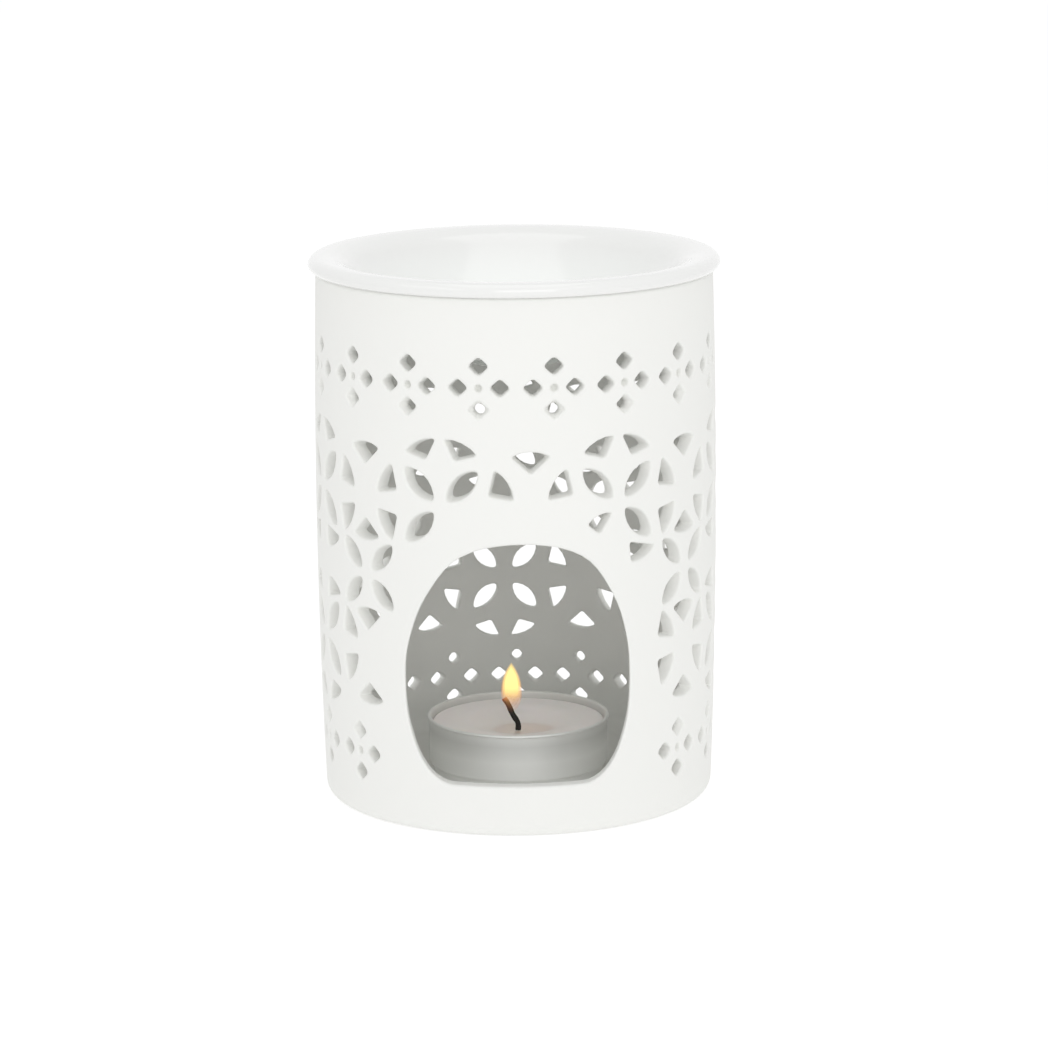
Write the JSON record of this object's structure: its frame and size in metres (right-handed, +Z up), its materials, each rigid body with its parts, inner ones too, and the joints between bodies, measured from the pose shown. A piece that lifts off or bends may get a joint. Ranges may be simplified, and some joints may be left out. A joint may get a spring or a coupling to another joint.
{
  "type": "oil burner",
  "caption": "Round ceramic oil burner: a fretted barrel body with an arched front opening, a lift-off glazed dish on its mouth and a tealight inside.",
  "frame": {"origin": "middle of the foot, on the surface that the burner stands on", "axes": "+Z up along the axis of the body and dish; -Y out of the front opening; +X to the right when facing the opening"},
  "size_m": [0.0862, 0.0862, 0.1152],
  "materials": {
    "body_ceramic": "matt",
    "dish_glaze": "gloss",
    "cup_foil": "satin",
    "candle_wax": "satin",
    "wick_cotton": "matt",
    "sustainer_tin": "satin"
  },
  "bodies": {
    "body": {"burner_body": "body_ceramic"},
    "dish": {"oil_dish": "dish_glaze"},
    "tealight": {"tealight_cup": "cup_foil"},
    "candle": {"tealight_wax": "candle_wax", "wick": "wick_cotton", "wick_sustainer": "sustainer_tin"}
  },
  "joints": [
    {"name": "dish_lift", "type": "slide", "parent": "body", "child": "dish", "axis": [0, 0, 1], "range_m": [0, 0.045]},
    {"name": "tealight_draw", "type": "slide", "parent": "body", "child": "tealight", "axis": [0, -0.9135, 0.4067], "range_m": [0, 0.07]},
    {"name": "candle_lift", "type": "slide", "parent": "tealight", "child": "candle", "axis": [0, 0, 1], "range_m": [0, 0.016]}
  ]
}
